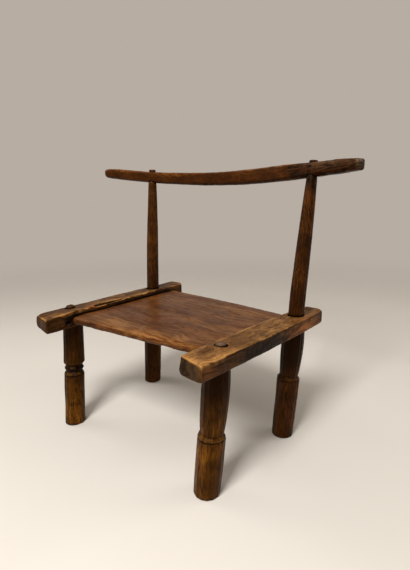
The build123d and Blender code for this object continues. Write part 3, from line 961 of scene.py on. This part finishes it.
# %% Floor
def bowl(flat, curve, rise, steps=12, sides=96):
    """A round floor that curves up to an upright wall: flat part, curve's radius and rise, in m."""
    outline = [(0.0, 0.0), (flat, 0.0)]
    for step in range(1, steps + 1):
        angle = step / steps * math.pi / 2
        outline.append((flat + curve * math.sin(angle), curve * (1 - math.cos(angle))))
    outline.append((flat + curve, rise))
    shape = bmesh.new()
    corners = [shape.verts.new((radius, 0, height)) for radius, height in outline]
    edges = [shape.edges.new(pair) for pair in zip(corners, corners[1:])]
    bmesh.ops.spin(
        shape,
        geom=corners + edges,
        axis=(0, 0, 1),
        cent=(0, 0, 0),
        angle=2 * math.pi,
        steps=sides,
        use_merge=True,
    )
    bmesh.ops.remove_doubles(shape, verts=shape.verts, dist=1e-5)
    bmesh.ops.recalc_face_normals(shape, faces=shape.faces)
    mesh = bpy.data.meshes.new("floor")
    shape.to_mesh(mesh)
    shape.free()
    mesh.shade_smooth()
    return mesh


floor = bpy.data.objects.new("floor", bowl(3.0, 2.5, 5.0))
bpy.context.collection.objects.link(floor)
print("floor", len(floor.data.polygons), "faces")

# %% [markdown]
# Near the chair the floor is matt paint, which shows the chair's shadow. Further out it turns into
# a wall with an even glow, so that the lamps needn't reach it. Only the camera and reflections see
# the glow: it doesn't light the chair.

# %% Paint
WALL_STARTS, WALL_FULL = 0.9, 3.4  # m from the chair's middle
paint = bpy.data.materials.new("floor_matt_paint")
paint.use_nodes = True
coat = paint.node_tree
coat.nodes.clear()
speckle = add(coat, "TexNoise", {"Scale": per_metre(30), "Detail": 4.0})
shades = {FACTOR: speckle.outputs["Fac"], COLOUR_A: linear("#d6cec4"), COLOUR_B: linear("#dad3c9")}
tone = add(coat, "Mix", shades, data_type="RGBA")
matt = add(coat, "BsdfPrincipled", {"Base Color": tone.outputs[MIXED], "Roughness": 0.9})
glow = add(coat, "Emission", {"Color": linear("#b7ada3"), "Strength": 1.0})
ray = add(coat, "LightPath").outputs
either = {0: ray["Is Glossy Ray"], 1: ray["Is Transmission Ray"]}
mirrored = add(coat, "Math", either, operation="MAXIMUM")
either = {0: ray["Is Camera Ray"], 1: mirrored.outputs[0]}
seen = add(coat, "Math", either, operation="MAXIMUM")
ground = add(coat, "TexCoord")
distance = add(coat, "VectorMath", {0: ground.outputs["Object"]}, operation="LENGTH")
outwards = {"Value": distance.outputs["Value"], "From Min": WALL_STARTS, "From Max": WALL_FULL}
far = add(coat, "MapRange", outwards, interpolation_type="SMOOTHSTEP")
wall = add(coat, "Math", {0: far.outputs[0], 1: seen.outputs[0]}, operation="MULTIPLY")
both = add(coat, "MixShader", {0: wall.outputs[0], 1: matt.outputs[0], 2: glow.outputs[0]})
add(coat, "OutputMaterial", {"Surface": both.outputs[0]})
floor.data.materials.append(paint)
print("material", paint.name, len(coat.nodes), "nodes")

# %% [markdown]
# A strong soft lamp stands high in front of the chair, as in a studio, and lights the tops and the
# front most. Two weak ones, at the left and behind at the right, brighten the shadows, and the sky
# fills in the rest.

# %% Light
world = bpy.data.worlds.new("studio")
bpy.context.scene.world = world
world.use_nodes = True
world.node_tree.nodes.clear()
sky = add(world.node_tree, "Background", {"Color": linear("#efe9e0"), "Strength": 0.45})
add(world.node_tree, "OutputWorld", {"Surface": sky.outputs[0]})


def soft_lamp(name, place, aim, size, power):
    """A square area lamp at a place, turned to a point."""
    lamp = bpy.data.lights.new(name, "AREA")
    lamp.shape = "SQUARE"
    lamp.size = size
    lamp.energy = power
    holder = bpy.data.objects.new(name, lamp)
    bpy.context.collection.objects.link(holder)
    holder.location = place
    holder.rotation_euler = (Vector(aim) - Vector(place)).to_track_quat("-Z", "Y").to_euler()
    print(name, power, "W")


SEAT_MIDDLE = (0, 0, 0.3)
soft_lamp("key_lamp", (0.5, -1.75, 2.2), SEAT_MIDDLE, 0.8, 78)
soft_lamp("side_lamp", (-1.7, -0.6, 1.9), SEAT_MIDDLE, 0.9, 9)
soft_lamp("rear_lamp", (1.6, 1.5, 1.7), SEAT_MIDDLE, 1.2, 12)

# %% [markdown]
# The camera looks down a little at the chair's front right corner. Its lens is wide and close, and
# its horizon is tilted by less than one degree.

# %% Camera
camera = bpy.data.objects.new("camera", bpy.data.cameras.new("camera"))
bpy.context.collection.objects.link(camera)
camera.data.sensor_width = 36
camera.data.lens = 25.57
heading, pitch, roll = (math.radians(angle) for angle in (39.64, 12.49, -0.844))
turn = Matrix.Rotation(heading, 4, "Z") @ Matrix.Rotation(math.pi / 2 - pitch, 4, "X")
turn = turn @ Matrix.Rotation(roll, 4, "Z")
camera.matrix_world = Matrix.Translation((0.7265, -0.7649, 0.6265)) @ turn
bpy.context.scene.camera = camera
bpy.context.scene.view_settings.view_transform = "Standard"
print("camera", camera.data.lens, "mm")
